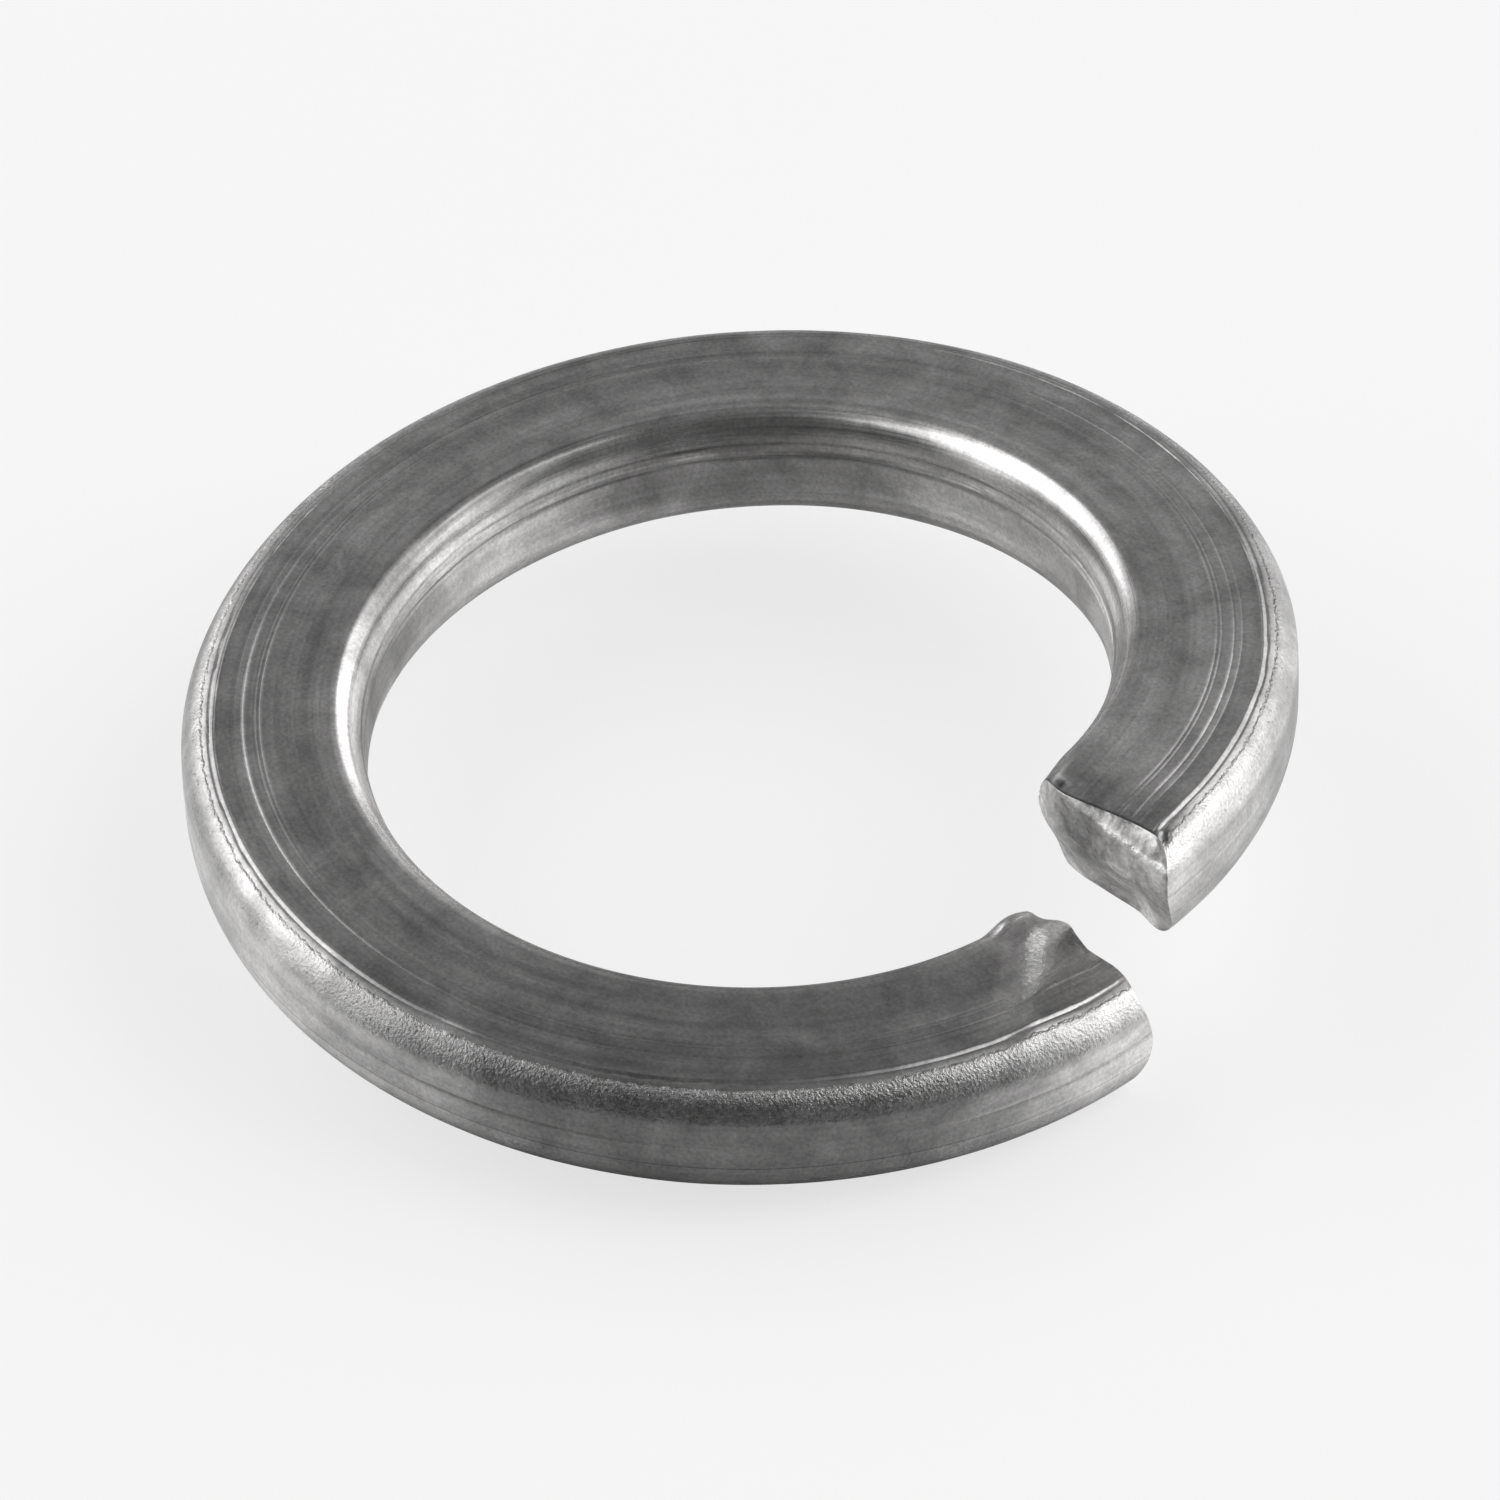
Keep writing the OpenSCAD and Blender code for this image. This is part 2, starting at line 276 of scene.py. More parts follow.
# %% Sizes of the low end
LOW_STAND = 0.07 * MM
FLAP_RISE, FLAP_CREST, FLAP_HALF_W = 0.41 * MM, 2.5 * MM, 1.4 * MM
FLAP_LEN, FLAP_SLANT, FLAP_FLARE = 0.85 * MM, 0.9, 1.1
BEND_FROM, BEND_EASE, BEND_REACH = -0.2 * MM, 1 * MM, 2 * MM
VALLEY_DEPTH, VALLEY_W, VALLEY_SPREAD = 0.045 * MM, 0.6 * MM, 3 * MM
OVERHANG, CORNER_TOP, CORNER_BOTTOM = 0.18 * MM, 0.45 * MM, 0.95 * MM
HUMP_H, HUMP_S, HUMP_LEN, HUMP_FADE = 0.4 * MM, 1 * MM, 1.6 * MM, (0.5 * MM, 1.9 * MM)
print("the flap rises by up to", FLAP_RISE / MM, "mm")

# %% [markdown]
# The flap begins at a bend line that crosses the top face askew. The distance past that line
# decides how high a point rises, and the distance from the crest how much of it it gets.

# %% Shape of the low end
def past_bend(u, s):
    """Distance past the flap's askew bend line, positive towards the end: L + slant (u - W) - s,
    over the root of 1 + slant squared."""
    return (FLAP_LEN + FLAP_SLANT * (u - INNER_W) - s) / math.sqrt(1 + FLAP_SLANT ** 2)


def low_shift(u, v, s):
    """Height change near the low end at distance s from it: the flap rises past its bend line,
    a valley runs along that line, and a hump stands on the inner rounding."""
    bend = past_bend(u, s)
    rise = FLAP_RISE * (1 - (1 - share(bend, 0, BEND_REACH)) ** 3) * smooth(bend, BEND_FROM, BEND_EASE)
    spread = hump(u, FLAP_CREST, FLAP_HALF_W + s * FLAP_FLARE)
    valley = hump(bend, -VALLEY_W / 2, VALLEY_W) * hump(u, FLAP_CREST, VALLEY_SPREAD)
    inner = (1 - smooth(u, *HUMP_FADE)) * hump(s, HUMP_S, HUMP_LEN)
    return up(v, 0.3, 1) * (spread * rise - VALLEY_DEPTH * valley + HUMP_H * inner)


def low_face(u, v):
    """How far the low end's face stands out into the gap: the flap's edge overhangs and the
    outer corners are cut back."""
    over = OVERHANG * hump(u, FLAP_CREST, FLAP_HALF_W) * up(v, 0.7, 1)
    corners = CORNER_TOP * up(v, 0.5, 1) + CORNER_BOTTOM * (1 - up(v, 0, 0.5))
    return LOW_STAND + over - corners * across(u, 0.7, 1)


print("bend line at the bead", round(float(past_bend(BEAD_U, 0)) * 1000, 2), "mm from the end")

# %% [markdown]
# The rolled faces aren't perfectly even. The bead wanders and breaks up, and scratches run
# round the coil on the top face and under the top inner edge. They are small moves of the
# section's points, worked out for all rings at once, so they also show at the outline.

# %% Bead and scratches
BEAD_WANDER, WANDER_LEN, SWELL_LEN = 0.05 * MM, 3 * MM, 0.7 * MM
SCRATCH_FADE_LEN, SCRATCH_CLEAR = 16 * MM, (8 * MM, 16 * MM)
BORE_WANDER, BORE_WANDER_LEN, BORE_FADE_LEN, BORE_LINE_W = (x * MM for x in (0.06, 8, 11, 0.12))
MASKS = {name: (STRETCH == name).astype(float) for name in np.unique(STRETCH)}
ON_TOP = MASKS["top"] + MASKS["bead"] + MASKS["rounding"]


def along_noise(along, length, seed, layers=3):
    """Noise that changes along the wire only, about once in each stretch of a given length."""
    return layered_noise(along / length, 0 * along, seed, layers)


def bead_relief(u, along):
    """Height of the bead less the depth of its groove: a hump on the bead's line and a hump of
    negative height just outside it, both wandering and swelling with noise along the wire."""
    wander = BEAD_WANDER * along_noise(along, WANDER_LEN, 11)
    swell = 0.65 + 0.35 * along_noise(along, SWELL_LEN, 17, 2)
    bead = BEAD_H * swell * hump(u, BEAD_U + wander - BEAD_W / 3, BEAD_W / 2)
    groove = BEAD_GROOVE * hump(u, BEAD_U + wander + BEAD_W / 2, BEAD_W / 2)
    return bead - groove


def scratch_relief(u, along):
    """Depth of the circular scratches: a narrow hump of negative height at each radius, which
    fades in and out along the wire but is always clear near the high end."""
    depth = 0 * u
    for i, (place_u, deep) in enumerate(zip(SCRATCH_U, SCRATCH_DEPTH)):
        fade = share(along_noise(along, SCRATCH_FADE_LEN, 31 + i), -0.5, 0.2)
        fade = np.maximum(fade, 1 - smooth(along, *SCRATCH_CLEAR))
        depth = depth - deep * fade * hump(u, place_u, SCRATCH_W)
    return depth


def bore_relief(v, along):
    """Depth of the lines that the mandrel left under the top inner edge: narrow humps at their
    drops below the top, wandering and fading along the wire."""
    depth = 0 * v
    for i, (drop, deep) in enumerate(BORE_LINES):
        wander = BORE_WANDER * along_noise(along, BORE_WANDER_LEN, 91 + i)
        fade = share(along_noise(along, BORE_FADE_LEN, 95 + i), -0.5, 0.1)
        depth = depth + deep * fade * hump(v, WIRE_T - drop + wander, BORE_LINE_W)
    return depth * (MASKS["inner"] + MASKS["bore"])


print("relief acts on", int(ON_TOP.sum()), "points of the top side")

# %% [markdown]
# The outer rounding is dimpled like the skin of an orange, shallow waves cover the wire, and
# the shears left two small pockets and a ragged edge on the flap. A pocket has a place across
# the wire, a distance from the end, a width, a depth and, for the colour, a darkness, which is
# dirt and painted shade in its hollow.

# %% Dimples, waves and pockets
DIMPLE_SIZE, DIMPLE_DEPTH = 0.6 * MM, 0.004 * MM
WAVE_SIZE, WAVE_DEPTH = 5 * MM, 0.012 * MM
SEAM_FADE_LEN, WORN_END = 9 * MM, 0.4 * MM
POCKETS = (
    (1.4 * MM, 0.32 * MM, 0.34 * MM, 0.035 * MM, 1.2), (6.05 * MM, 0.22 * MM, 0.3 * MM, 0.08 * MM, 0.9),
)
POCKET_GRAIN = 0.3 * MM
BURR_H, BURR_GRAIN_U, BURR_GRAIN_S = 0.07 * MM, 0.22 * MM, 0.16 * MM
BURR_U, BURR_W, BURR_FADE = 3 * MM, 1.1 * MM, (0.15 * MM, 0.5 * MM)
STEP_U, STEP_V = (np.diff(way, prepend=way[-1]) for way in (SECTION_U, SECTION_V))
AROUND = np.cumsum(np.hypot(STEP_U, STEP_V))


def pocket(u, s, centre_u, centre_s, width):
    """A hollow's depth from 1 at its centre to 0 at a distance of width, with a ragged outline."""
    away = np.hypot(u - centre_u, s - centre_s)
    ragged = 0.3 * width * layered_noise(u / POCKET_GRAIN, s / POCKET_GRAIN, 83)
    return 1 - smooth(away + ragged, 0.3 * width, width)


def end_relief(u, s_high, s_low):
    """Height changes next to the ends: two pockets in the top face where the lip tore away from
    it, and ragged specks of burr on the flap's edge."""
    pockets = sum(deep * pocket(u, s_high, *at) for *at, deep, _ in POCKETS)
    specks = layered_noise(u / BURR_GRAIN_U, s_low / BURR_GRAIN_S, 23, 2)
    return BURR_H * specks * hump(u, BURR_U, BURR_W) * (1 - smooth(s_low, *BURR_FADE)) - pockets


def skin_relief(u, v, s_high, s_low):
    """Moves du and dv of all section points, at both distances from the ends: bead, scratches
    and pockets on the top side, the seam on the wall, and dimples and waves, which only ever go
    inwards, on a line towards the section's middle."""
    lines = bead_relief(u, s_high) + scratch_relief(u, s_high)
    worn = smooth(np.minimum(s_high, s_low), 0, WORN_END)
    dv = ON_TOP * (lines * worn + end_relief(u, s_high, s_low))
    bumps = DIMPLE_DEPTH * (layered_noise(s_high / DIMPLE_SIZE, AROUND / DIMPLE_SIZE, 41, 2) - 1)
    waves = WAVE_DEPTH * (layered_noise(s_high / WAVE_SIZE, AROUND / WAVE_SIZE, 51) - 1)
    move = bumps * MASKS["rounding"] + waves * (1 - MASKS["bore"] - MASKS["bottom"])
    fade = share(along_noise(s_high, SEAM_FADE_LEN, 37), -0.6, 0.1)
    seam = SEAM_DEPTH * fade * hump(v, SEAM_V, SEAM_W) * MASKS["wall"]
    out_u, out_v = 2 * u / WIRE_W - 1, 2 * v / WIRE_T - 1
    size = np.hypot(out_u, out_v)
    return move * out_u / size - seam + bore_relief(v, s_high), dv + move * out_v / size


print("section's length around", round(AROUND[-1] / MM, 2), "mm")

# %% [markdown]
# The skin is a grid: rings of section points along the coil, then smaller and smaller rings
# over each end face down to its middle. A point's place comes from its angle along the coil,
# its radius and its height, which falls with the angle. The rings lie closer near the ends.

# %% Grid of the skin
COIL_RINGS = 490
END_RINGS = 42
CAP_RINGS = 27


def place(angle, u, v, ds):
    """A section point in space: radius r = bore radius + u, angle moved on by ds / r, and
    height v plus the coil's climb, which falls evenly with the angle."""
    r = BORE_R + u
    a = angle + ds / r
    climb = PITCH * (STOP - angle) / (2 * math.pi)
    return np.stack([r * np.cos(a), r * np.sin(a), v + climb + 0 * a], axis=-1)


def ring_angles():
    """Angles of the rings: close together in both end zones, where the distance from the end
    grows as a power of the step, and even between them."""
    reach = END_ZONE / MEAN_R
    fine = reach * steps(END_RINGS) ** 1.4
    even = np.linspace(START + reach, STOP - reach, COIL_RINGS)
    return np.concatenate([START + fine, even, (STOP - fine)[::-1]])


def wire_rings():
    """Points of all rings along the coil, with both ends' shapes and the fine relief."""
    angle = ring_angles()[:, None]
    s_high, s_low = (angle - START) * MEAN_R, (STOP - angle) * MEAN_R
    u, v = SECTION_U + 0 * angle, SECTION_V + 0 * angle
    du, dv = skin_relief(u, v, s_high, s_low)
    dv = dv + high_shift(u, v, s_high) + low_shift(u, v, s_low)
    ds = low_face(u, v) * (1 - share(s_low, 0, END_ZONE))
    ds = ds - high_face(u, v) * (1 - share(s_high, 0, END_ZONE))
    return place(angle, u + du, v + dv, ds)


rings = wire_rings()
print("rings along the coil", rings.shape)

# %% [markdown]
# A sheared face isn't smooth: it is cloudy, with shallow lumps and drag lines in the
# direction of the cut. Each ring of an end face is the section drawn in towards its middle,
# and noise moves it a little along the wire. Its rim is eased back over a few hundredths.

# %% End faces
CAP_ROUGH, DRAG_ROUGH = 0.05 * MM, 0.02 * MM
LUMP_W, LUMP_H, DRAG_W, DRAG_H = 1.3 * MM, 1.1 * MM, 0.25 * MM, 2.5 * MM
CAP_EASE, EASE_SHARE, RIM_SHARE, ROUGH_SHARE = 0.02 * MM, 0.015, 0.05, 0.08


def cap_shares():
    """How far each ring of a cap is drawn in: 1 - (n / N) to the power 1.5, which falls from
    just under 1 at the rim to 0 at the middle."""
    return (1 - ((np.arange(CAP_RINGS) + 1) / CAP_RINGS) ** 1.5)[:, None]


def drawn_in(k):
    """The section's points drawn in towards its middle by the shares k."""
    return WIRE_W / 2 + (SECTION_U - WIRE_W / 2) * k, WIRE_T / 2 + (SECTION_V - WIRE_T / 2) * k


def cap_rings(high):
    """Rings of one end face from its rim inwards: the section drawn in, at the face's own shape
    plus lumps and drag lines along the wire, less the easing of the rim."""
    angle, seed = (START, 61) if high else (STOP, 71)
    near, far = np.zeros((1, 1)), np.full((1, 1), TURN * MEAN_R)
    s_high, s_low = (near, far) if high else (far, near)
    section = SECTION_U[None, :], SECTION_V[None, :]
    du, dv = skin_relief(*section, s_high, s_low)
    edge = high_shift(*section, near) if high else low_shift(*section, near)
    k = cap_shares()
    u, v = drawn_in(k)
    rim = 1 - smooth(1 - k, 0, RIM_SHARE)
    u = u + du * rim
    face = high_face(u, v) if high else low_face(u, v)
    lumps = CAP_ROUGH * layered_noise(u / LUMP_W, v / LUMP_H, seed, 4)
    drag = DRAG_ROUGH * layered_noise(u / DRAG_W, v / DRAG_H, seed + 20, 2)
    ease = CAP_EASE * (1 - smooth(1 - k, 0, EASE_SHARE))
    stand = face + smooth(1 - k, 0, ROUGH_SHARE) * (lumps + drag) - ease
    return place(angle, u, v + edge * k + dv * rim, -stand if high else stand)


high_cap, low_cap = cap_rings(True), cap_rings(False)
print("cap rings", high_cap.shape, low_cap.shape)

# %% [markdown]
# The grid becomes one closed mesh. The innermost ring of a cap is a single point, so its
# ring is left out and triangles meet in that point. All other rings are joined by quads.

# %% The washer's mesh
SHARP_ANGLE = math.radians(28)


def grid_quads(rows, columns):
    """Quads between neighbouring rows of a grid whose columns close into loops."""
    i, j = np.meshgrid(np.arange(rows - 1), np.arange(columns), indexing="ij")
    a, b = i * columns + j, i * columns + (j + 1) % columns
    return np.stack([a, a + columns, b + columns, b], axis=-1).reshape(-1, 4)


def cap_fan(first, centre, columns, flip):
    """Triangles from a ring's points to one centre point."""
    j = np.arange(columns)
    a, b = first + j, first + (j + 1) % columns
    order = (b, a) if flip else (a, b)
    return np.stack([*order, np.full(columns, centre)], axis=-1)


def signed_volume(points, quads):
    """Volume under the quads: a sixth of the sum of the triple products of their triangles."""
    a, b, c, d = (points[quads[:, n]] for n in range(4))
    both = np.cross(a, b) * c + np.cross(a, c) * d
    return both.sum() / 6


grid = np.concatenate([high_cap[:-1][::-1], rings, low_cap[:-1]])
rows, columns = grid.shape[:2]
points = np.concatenate([grid.reshape(-1, 3), high_cap[-1, :1], low_cap[-1, :1]])
quads = grid_quads(rows, columns)
fans = np.concatenate([
    cap_fan(0, rows * columns, columns, False),
    cap_fan((rows - 1) * columns, rows * columns + 1, columns, True),
])
if signed_volume(points, quads) < 0:
    quads, fans = quads[:, ::-1], fans[:, ::-1]
mesh = bpy.data.meshes.new("washer_skin")
mesh.vertices.add(len(points))
mesh.vertices.foreach_set("co", points.ravel())
mesh.loops.add(quads.size + fans.size)
mesh.loops.foreach_set("vertex_index", np.concatenate([quads.ravel(), fans.ravel()]))
mesh.polygons.add(len(quads) + len(fans))
counts = np.concatenate([np.full(len(quads), 4), np.full(len(fans), 3)])
mesh.polygons.foreach_set("loop_start", np.concatenate([[0], np.cumsum(counts)[:-1]]))
mesh.update(calc_edges=True)
mesh.validate()
mesh.shade_smooth()
mesh.set_sharp_from_angle(angle=SHARP_ANGLE)
triangles = 2 * len(quads) + len(fans)
print("triangles", triangles, "volume", round(signed_volume(points, quads) * 1e9, 1), "mm3")

# %% [markdown]
# The finish differs from one stretch of the section to the next, so each kind of surface
# gets a mask: a number on every point, 1 where that finish is and 0 elsewhere. Most masks
# are blurred along the section, so that one finish runs into the next.

# %% Masks of the surfaces
SURFACES = {
    "rounding": (("rounding", "rounding_low"), 3), "wall": (("wall",), 2), "bore": (("bore",), 1),
    "inner": (("inner",), 0), "top": (("top", "bead"), 2), "underside": (("inner_low", "bottom"), 2),
}


def point_mask(name, on_rings, on_high_cap, on_low_cap):
    """Stores a mask: values for the coil's rings and for both caps, from the rim inwards."""
    n = CAP_RINGS - 1
    values = np.zeros((rows, columns))
    values[n:-n] = on_rings
    values[:n] = np.broadcast_to(on_high_cap, (n, columns))[::-1]
    values[-n:] = on_low_cap
    centres = values[[0, -1], [0, 0]]
    values = np.concatenate([values.ravel(), centres]).astype(np.float32)
    mesh.attributes.new(name, "FLOAT", "POINT").data.foreach_set("value", values)
    print("mask", name, "on", int((values != 0).sum()), "points")


def soften(mask, blurs):
    """A mask blurred along the section: each point takes a quarter of both neighbours."""
    for _ in range(blurs):
        mask = mask / 2 + (np.roll(mask, 1) + np.roll(mask, -1)) / 4
    return mask


point_mask("sheared", 0, 1, 1)
for name, (stretches, blurs) in SURFACES.items():
    point_mask(name, soften(sum(MASKS[part] for part in stretches), blurs), 0, 0)

# %% [markdown]
# Dirt and painted shade collect where the shears tore the metal, in the pockets and in a
# thin crack line under the high end's top edge. Where the blade pressed, the metal is burnished
# and paler, and the pale bent flap is partly a painted highlight. One more mask holds this stain
# and painted light, from -1.2 (palest) to 1.2 (darkest), first on the coil's rings. A pair of
# values is a smooth step's two places, or a hump's middle and reach.

# %% Stain and painted light on the coil
STAIN_AND_LIGHT_MAX = 1.2
POCKET_RIM = 0.04 * MM
# The thin crack line under the high end's top edge is painted dark: dirt and a painted shadow.
CRACK_S, CRACK_U, CRACK_SHADOW = (0.04 * MM, 0.13 * MM), (5.6 * MM, 6 * MM), 0.8
# The bent flap's paleness is burnished metal and partly a painted highlight.
BENT_FROM, BENT_U, BENT_BURNISH_AND_HIGHLIGHT = (-1.1 * MM, 0.2 * MM), (3.1 * MM, 3.3 * MM), 1.4
PRESSED_U, PRESSED_S, PRESSED_PALE = (1 * MM, 2.2 * MM), (1.5 * MM, 4 * MM), 0.7
WORN_S, ROUNDING_PALE, WALL_PALE = (2 * MM, 9 * MM), 0.25, 0.3


def ring_stain_and_light():
    """On the coil's rings: dark in both pockets, with dirt and painted shade, and in a thin crack
    along the high end's top edge, dirt and a painted shadow; pale on the low end's bent flap,
    burnished and partly a painted highlight, and on its pressed inner edge and worn outside."""
    angle = ring_angles()[:, None]
    s_high, s_low = (angle - START) * MEAN_R, (STOP - angle) * MEAN_R
    u = SECTION_U + 0 * angle
    dark = CRACK_SHADOW * (1 - smooth(s_high, *CRACK_S)) * (1 - smooth(u, *CRACK_U))
    # A pocket's darkness is dirt and painted shade in its hollow.
    for at_u, at_s, width, _, tone in POCKETS:
        dark = dark + tone * pocket(u, s_high, at_u, at_s, width - POCKET_RIM)
    bent_burnish_and_highlight = BENT_BURNISH_AND_HIGHLIGHT * smooth(past_bend(u, s_low), *BENT_FROM) * hump(u, *BENT_U)
    pressed = PRESSED_PALE * (1 - smooth(u, *PRESSED_U)) * (1 - smooth(s_low, *PRESSED_S))
    outside = ROUNDING_PALE * MASKS["rounding"] + WALL_PALE * MASKS["wall"]
    pale = np.maximum(bent_burnish_and_highlight, pressed) + outside * (1 - smooth(s_low, *WORN_S))
    stain_and_light = np.clip(dark - pale, -STAIN_AND_LIGHT_MAX, STAIN_AND_LIGHT_MAX)
    return stain_and_light * (ON_TOP + MASKS["inner"] + MASKS["wall"])


coil_stain_and_light = ring_stain_and_light()
print("stain on the coil from", coil_stain_and_light.min(), "to", coil_stain_and_light.max())

# %% [markdown]
# On the high end's face the places count from the bore wall (u), from the bottom (v) or from
# the lip's lower edge (rise). The low end's face keeps one even tone.

# %% Stain and painted light on the high end's face
# The lip's darkness is dirt and painted shade.
LIP_RISE, LIP_DIRT_AND_SHADE = (0.1 * MM, 0.45 * MM), 0.35
CLOUD_U, CLOUD_V, CLOUD_DARK = (2.4 * MM, 2.2 * MM), (3.3 * MM, 1.9 * MM), 0.65
# The pale strip along the lip's lower edge is a painted highlight.
STRIP_RISE, STRIP_U, STRIP_HIGHLIGHT = (0.12 * MM, 0.28 * MM), (2.6 * MM, 5 * MM), 1.5
OUTER_RISE, OUTER_U, OUTER_PALE = (-0.2 * MM, 0), (3.2 * MM, 5.5 * MM), 0.6
ROLLED_W, ROLLED_V, ROLLED_EASE, ROLLED_PALE = 0.85 * MM, (1.2 * MM, 4.8 * MM), 0.1 * MM, 0.4
# The pale specks along the top rim are painted glints.
RIM_K, RIM_V, RIM_GLINT, SPECK_SIZE = (0.86, 1), (4.2 * MM, 4.8 * MM), 0.9, 0.2 * MM


def cap_stain_and_light():
    """On the high end's face: dark on the lip, with dirt and painted shade, and in a wide cloud on
    the upper inner part; pale on the outer part below the lip and on the rolled inner side; a
    painted highlight in a strip along the lip's lower edge, and painted glints in specks along the top
    rim."""
    k = cap_shares()[:-1]
    u, v = drawn_in(k)
    rise = v - (WIRE_T - lip_height(u))
    lip = LIP_DIRT_AND_SHADE * smooth(rise, *LIP_RISE)
    cloud = CLOUD_DARK * hump(u, *CLOUD_U) * hump(v, *CLOUD_V)
    strip_highlight = STRIP_HIGHLIGHT * hump(rise, *STRIP_RISE) * smooth(u, *STRIP_U)
    outer = OUTER_PALE * smooth(u, *OUTER_U) * (1 - smooth(rise, *OUTER_RISE))
    past_side = u - ROLLED_W * share(v, *ROLLED_V)
    rolled = ROLLED_PALE * (1 - smooth(past_side, -ROLLED_EASE, ROLLED_EASE))
    specks = share(layered_noise(u / SPECK_SIZE, v / SPECK_SIZE, 29, 2), -0.3, 0.5)
    rim = RIM_GLINT * share(k, *RIM_K) * smooth(v, *RIM_V) * specks
    return np.clip(lip + cloud - strip_highlight - outer - rolled - rim, -STAIN_AND_LIGHT_MAX, STAIN_AND_LIGHT_MAX)


point_mask("stain_and_light", coil_stain_and_light, cap_stain_and_light(), 0)

# %% [markdown]
# The pattern coordinates are the way along the wire and around its section, in metres. They
# are stored on face corners: where the section's loop closes, a corner on the first column
# counts as the full way around, so the pattern has no smear there.

# %% Pattern coordinates
loop_vertex = np.empty(len(mesh.loops), np.int32)
mesh.loops.foreach_get("vertex_index", loop_vertex)
ring_of, column_of = np.minimum(loop_vertex // columns, rows - 1), loop_vertex % columns
cap_zeros = np.zeros(CAP_RINGS - 1)
along_ring = np.concatenate([cap_zeros, (ring_angles() - START) * MEAN_R, cap_zeros + TURN * MEAN_R])
around_column = np.append(AROUND - AROUND[0], AROUND[-1])
face_of = np.repeat(np.arange(len(counts)), counts)
highest = np.zeros(len(counts), np.int32)
np.maximum.at(highest, face_of, column_of)
wraps = (column_of == 0) & (highest[face_of] == columns - 1)
around_corner = around_column[np.where(wraps, columns, column_of)]
pattern = np.stack([along_ring[ring_of], around_corner, 0 * ring_of], axis=-1).astype(np.float32)
mesh.attributes.new("wire", "FLOAT_VECTOR", "CORNER").data.foreach_set("vector", pattern.ravel())
uv_map = mesh.uv_layers.new(name="UVMap")
lengths = np.array([TURN * MEAN_R, AROUND[-1]])
uv_map.data.foreach_set("uv", (pattern[:, :2] / lengths).astype(np.float32).ravel())
print("pattern reaches", [round(float(x / MM), 1) for x in lengths], "mm")

# %% [markdown]
# Materials are graphs of nodes. Short helpers keep the graphs readable: the first adds a node
# with its settings and inputs, and each of the others adds one kind of node by it.

# %% Helpers for node graphs
def node(tree, kind, inputs=None, **settings):
    """Adds a node, sets its properties, and sets or links its inputs by name or number."""
    made = tree.nodes.new(kind)
    for key, value in settings.items():
        setattr(made, key, value)
    for key, value in (inputs or {}).items():
        if isinstance(value, bpy.types.NodeSocket):
            tree.links.new(value, made.inputs[key])
        else:
            made.inputs[key].default_value = value
    return made


def maths(tree, operation, a, b=0.5):
    """A Math node's result for two inputs, each a number or a socket."""
    return node(tree, "ShaderNodeMath", {0: a, 1: b}, operation=operation).outputs[0]


def times(tree, product, *factors):
    """The product of two or more numbers or sockets."""
    for factor in factors:
        product = maths(tree, "MULTIPLY", product, factor)
    return product


def vector_maths(tree, operation, *vectors):
    """The outputs of a Vector Math node for its inputs in order."""
    return node(tree, "ShaderNodeVectorMath", dict(enumerate(vectors)), operation=operation).outputs


def attribute(tree, name):
    """The value of a mask stored on the mesh."""
    return node(tree, "ShaderNodeAttribute", attribute_name=name).outputs["Fac"]


def noise(tree, vector, scale, detail=3, rough=0.55, distortion=0):
    """Noise from 0 to 1 at a scale given in features per metre."""
    inputs = {"Vector": vector, "Scale": scale, "Detail": detail, "Roughness": rough}
    return node(tree, "ShaderNodeTexNoise", {**inputs, "Distortion": distortion}).outputs["Fac"]


def stretched(tree, vector, along, around):
    """Pattern coordinates scaled by different numbers along the wire and around its section."""
    return node(tree, "ShaderNodeMapping", {"Vector": vector, "Scale": (along, around, 1)}).outputs[0]


def remap(tree, value, low, high, to_low, to_high):
    """A value's range from low..high to to_low..to_high, held at both ends."""
    inputs = dict(enumerate((value, low, high, to_low, to_high)))
    return node(tree, "ShaderNodeMapRange", inputs).outputs[0]


def mottled(tree, texture, low, high):
    """A factor that goes from low to high as a noise rises through its middle range."""
    return remap(tree, texture, 0.3, 0.7, low, high)


def blend(tree, factor, a, b):
    """One number turned into another as the factor goes from 0 to 1."""
    return node(tree, "ShaderNodeMix", {0: factor, 2: a, 3: b}, data_type="FLOAT").outputs[0]


def near(tree, value, centre, width):
    """1 where a value equals the centre, falling to 0 at a distance of width on either side."""
    away = maths(tree, "ABSOLUTE", maths(tree, "SUBTRACT", value, centre))
    return remap(tree, away, 0, width, 1, 0)


def scaled(tree, value, factor, share_of):
    """A value times 1 where the share is 0 and times the factor where it is 1."""
    return times(tree, value, remap(tree, share_of, 0, 1, 1, factor))


print("helpers ready")

# %% [markdown]
# The steel is bare, rolled and tumbled. Its flat faces are a dark satin with circular streaks
# and cloudy patches, its outer rounding is paler and sandy, and its sheared ends are dull.
# Colour, roughness and relief read the same fields. A noise has features per metre, layers,
# roughness and distortion, and a stretched one features per metre along and around the wire.
# A side of the ring has an azimuth and the cosine of the angle where it has faded out.

